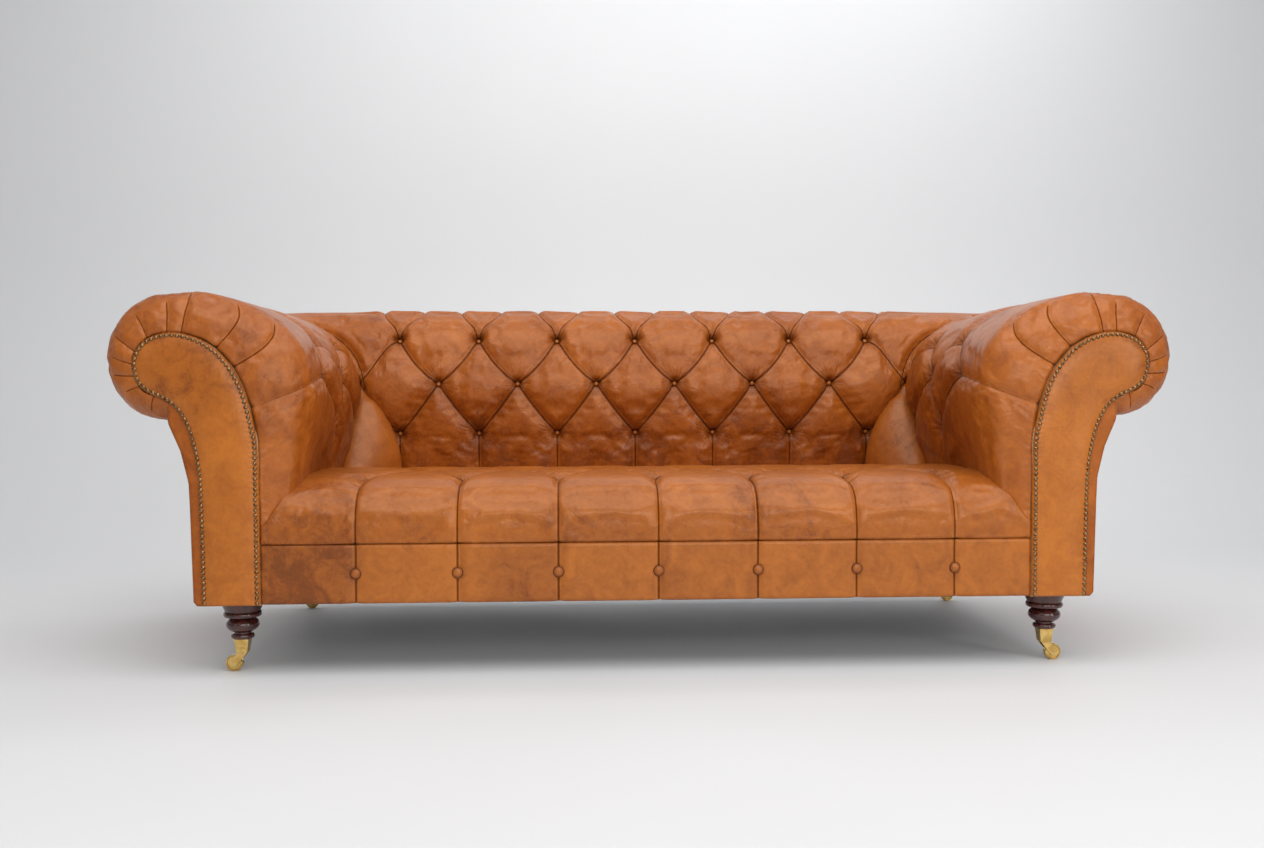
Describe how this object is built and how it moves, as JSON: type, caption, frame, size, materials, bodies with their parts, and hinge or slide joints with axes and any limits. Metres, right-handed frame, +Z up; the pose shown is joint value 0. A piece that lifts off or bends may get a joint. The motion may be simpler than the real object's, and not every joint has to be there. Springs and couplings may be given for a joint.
{
  "type": "chesterfield sofa",
  "caption": "Long chesterfield sofa: deep-buttoned tan leather back, arms and seat, scrolled arms with nailed facings, turned legs on brass castors.",
  "frame": {"origin": "on the floor, under the middle of the sofa's overall box", "axes": "+X along the seat to the right when facing the sofa's front, -Y out of the front, +Z up"},
  "size_m": [2.186, 0.89, 0.782],
  "materials": {
    "timber": "sawn softwood",
    "leather": "hand-waxed tan hide, mottled, deep buttoned",
    "gusset_leather": "tan hide, plain",
    "facing_leather": "tan hide, plain, lightly creased",
    "border_leather": "tan hide, pleated",
    "button_leather": "tan hide over a domed button",
    "spring_steel": "plain drawn wire",
    "webbing": "woven elastic webbing",
    "hessian": "plain hessian",
    "dust_cloth": "black non-woven cloth",
    "antique_nails": "antique bronzed domes",
    "castor_brass": "polished",
    "axle_brass": "turned",
    "mahogany": "polished dark mahogany"
  },
  "bodies": {
    "sofa": {"arm_buttons": "button_leather", "arm_pad_left": "leather", "arm_pad_right": "leather", "arm_stay_rail_left": "timber", "arm_stay_rail_right": "timber", "arm_top_rail_left": "timber", "arm_top_rail_right": "timber", "arm_webbing": "webbing", "back_buttons": "button_leather", "back_pad": "leather", "back_post_left": "timber", "back_post_right": "timber", "back_rail": "timber", "back_stay_rail": "timber", "back_top_rail": "timber", "back_uprights": "timber", "back_webbing": "webbing", "border_buttons": "button_leather", "castor_cups": "castor_brass", "corner_gusset_left": "gusset_leather", "corner_gusset_right": "gusset_leather", "cross_rails": "timber", "dust_cover": "dust_cloth", "facing_board_left": "timber", "facing_board_right": "timber", "facing_cover_left": "facing_leather", "facing_cover_right": "facing_leather", "facing_nails": "antique_nails", "front_border": "border_leather", "front_post_left": "timber", "front_post_right": "timber", "front_rail": "timber", "leg_blocks": "timber", "leg_bolts": "spring_steel", "leg_front_left": "mahogany", "leg_front_right": "mahogany", "leg_rear_left": "mahogany", "leg_rear_right": "mahogany", "outside_arm_panel_left": "leather", "outside_arm_panel_right": "leather", "outside_back_panel": "leather", "seat_buttons": "button_leather", "seat_hessian": "hessian", "seat_pad": "leather", "seat_springs": "spring_steel", "side_rail_left": "timber", "side_rail_right": "timber", "spring_clips": "spring_steel"},
    "castor_front_left": {"castor_fork_front_left": "castor_brass", "castor_axle_front_left": "axle_brass"},
    "wheel_front_left": {"castor_wheel_front_left": "castor_brass"},
    "castor_front_right": {"castor_fork_front_right": "castor_brass", "castor_axle_front_right": "axle_brass"},
    "wheel_front_right": {"castor_wheel_front_right": "castor_brass"},
    "castor_rear_left": {"castor_fork_rear_left": "castor_brass", "castor_axle_rear_left": "axle_brass"},
    "wheel_rear_left": {"castor_wheel_rear_left": "castor_brass"},
    "castor_rear_right": {"castor_fork_rear_right": "castor_brass", "castor_axle_rear_right": "axle_brass"},
    "wheel_rear_right": {"castor_wheel_rear_right": "castor_brass"}
  },
  "joints": [
    {"name": "castor_swivel_front_left", "type": "hinge", "parent": "sofa", "child": "castor_front_left", "pos_m": [-0.834, -0.374, 0.0385], "axis": [0, 0, 1], "continuous": true},
    {"name": "wheel_spin_front_left", "type": "hinge", "parent": "castor_front_left", "child": "wheel_front_left", "pos_m": [-0.851, -0.374, 0.017], "axis": [0, 1, 0], "continuous": true},
    {"name": "castor_swivel_front_right", "type": "hinge", "parent": "sofa", "child": "castor_front_right", "pos_m": [0.834, -0.374, 0.0385], "axis": [0, 0, 1], "continuous": true},
    {"name": "wheel_spin_front_right", "type": "hinge", "parent": "castor_front_right", "child": "wheel_front_right", "pos_m": [0.851, -0.374, 0.017], "axis": [0, 1, 0], "continuous": true},
    {"name": "castor_swivel_rear_left", "type": "hinge", "parent": "sofa", "child": "castor_rear_left", "pos_m": [-0.834, 0.33, 0.0385], "axis": [0, 0, 1], "continuous": true},
    {"name": "wheel_spin_rear_left", "type": "hinge", "parent": "castor_rear_left", "child": "wheel_rear_left", "pos_m": [-0.851, 0.33, 0.017], "axis": [0, 1, 0], "continuous": true},
    {"name": "castor_swivel_rear_right", "type": "hinge", "parent": "sofa", "child": "castor_rear_right", "pos_m": [0.834, 0.33, 0.0385], "axis": [0, 0, 1], "continuous": true},
    {"name": "wheel_spin_rear_right", "type": "hinge", "parent": "castor_rear_right", "child": "wheel_rear_right", "pos_m": [0.851, 0.33, 0.017], "axis": [0, 1, 0], "continuous": true}
  ]
}
